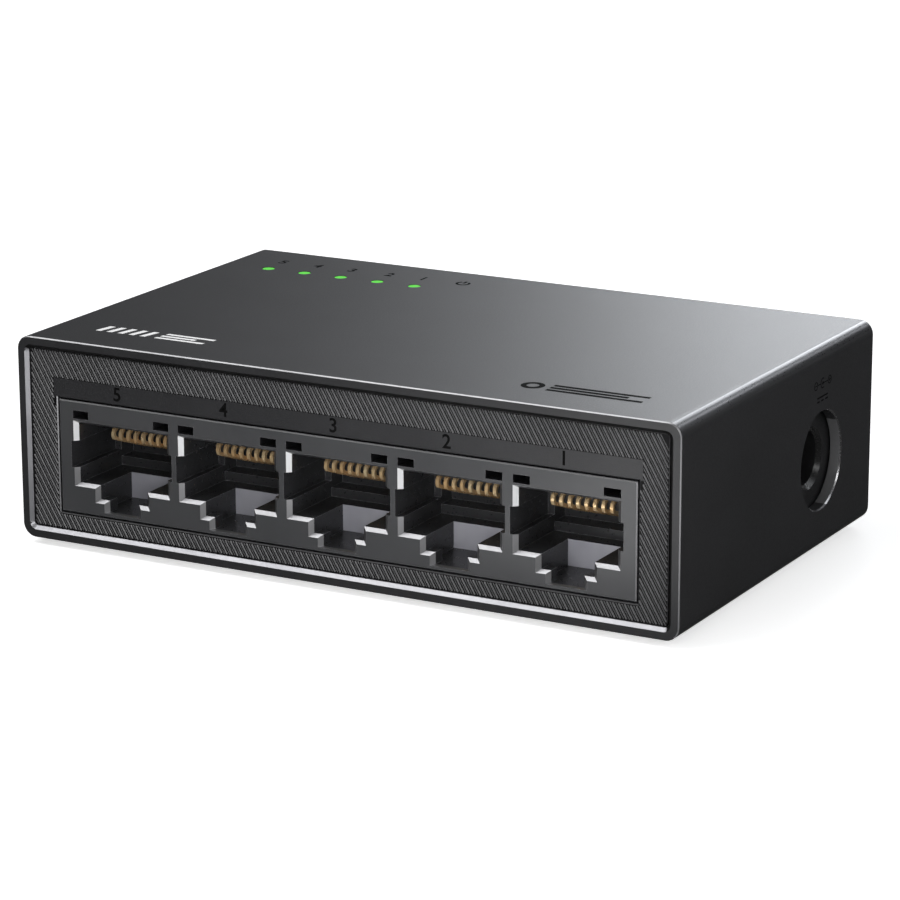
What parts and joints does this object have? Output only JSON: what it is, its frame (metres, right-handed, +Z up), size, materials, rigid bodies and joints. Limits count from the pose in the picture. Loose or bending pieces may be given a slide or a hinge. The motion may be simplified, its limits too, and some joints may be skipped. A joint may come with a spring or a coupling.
{
  "type": "desktop network switch",
  "caption": "Small desktop network switch: satin sleeve case with a ridged front panel, a row of wired network sockets, light windows in the top and a power inlet in the side.",
  "frame": {"origin": "middle of the base, at the undersides of the feet", "axes": "+Z up, the sockets face -Y, the power inlet faces +X"},
  "size_m": [0.084, 0.0524, 0.0248],
  "materials": {
    "case_plastic": "fine satin texture, dark grey",
    "panel_plastic": "ridged and satin, dark grey",
    "screw_steel": "zinc plated",
    "socket_plastic": "satin, medium grey",
    "comb_plastic": "moulded, black",
    "contact_gilt": "gilt, polished",
    "board_laminate": "solder mask, green",
    "chip_epoxy": "moulded epoxy, black",
    "tinned_metal": "tinned",
    "can_metal": "drawn can",
    "ferrite": "sintered, dark grey",
    "ceramic": "fired, tan",
    "led_lens": "clear lens, green",
    "light_pipe": "clear, lit green",
    "jack_plastic": "moulded, black",
    "nickel_metal": "nickel plated",
    "foot_rubber": "soft, black"
  },
  "bodies": {
    "case": {"housing_sleeve": "case_plastic", "front_bezel": "panel_plastic", "rear_panel": "panel_plastic", "rear_panel_screws": "screw_steel", "rj45_block": "socket_plastic", "wire_combs": "comb_plastic", "contact_wires_fixed": "contact_gilt", "main_pcb": "board_laminate", "switch_chip": "chip_epoxy", "line_transformers": "chip_epoxy", "transformer_leads": "tinned_metal", "crystal": "can_metal", "regulator_chip": "chip_epoxy", "buck_inductor": "ferrite", "smoothing_capacitors": "can_metal", "ceramic_capacitors": "ceramic", "led_chips": "led_lens", "light_pipes": "light_pipe", "dc_jack_body": "jack_plastic", "dc_jack_pin": "nickel_metal", "dc_jack_terminals": "nickel_metal", "rubber_feet": "foot_rubber"},
    "contacts_1": {"contacts_port_1": "contact_gilt"},
    "contacts_2": {"contacts_port_2": "contact_gilt"},
    "contacts_3": {"contacts_port_3": "contact_gilt"},
    "contacts_4": {"contacts_port_4": "contact_gilt"},
    "contacts_5": {"contacts_port_5": "contact_gilt"},
    "inlet_spring": {"dc_jack_spring": "nickel_metal"}
  },
  "joints": [
    {"name": "contact_flex_1", "type": "hinge", "parent": "case", "child": "contacts_1", "pos_m": [0.0284, -0.0213, 0.0132], "axis": [1, 0, 0], "range_deg": [0, 10], "stiffness_Nm_per_rad": 0.05},
    {"name": "contact_flex_2", "type": "hinge", "parent": "case", "child": "contacts_2", "pos_m": [0.0142, -0.0213, 0.0132], "axis": [1, 0, 0], "range_deg": [0, 10], "stiffness_Nm_per_rad": 0.05},
    {"name": "contact_flex_3", "type": "hinge", "parent": "case", "child": "contacts_3", "pos_m": [0, -0.0213, 0.0132], "axis": [1, 0, 0], "range_deg": [0, 10], "stiffness_Nm_per_rad": 0.05},
    {"name": "contact_flex_4", "type": "hinge", "parent": "case", "child": "contacts_4", "pos_m": [-0.0142, -0.0213, 0.0132], "axis": [1, 0, 0], "range_deg": [0, 10], "stiffness_Nm_per_rad": 0.05},
    {"name": "contact_flex_5", "type": "hinge", "parent": "case", "child": "contacts_5", "pos_m": [-0.0284, -0.0213, 0.0132], "axis": [1, 0, 0], "range_deg": [0, 10], "stiffness_Nm_per_rad": 0.05},
    {"name": "inlet_spring_flex", "type": "hinge", "parent": "case", "child": "inlet_spring", "pos_m": [0.03155, 0.01155, 0.00729], "axis": [0, 1, 0], "range_deg": [0, 5], "stiffness_Nm_per_rad": 0.05}
  ]
}
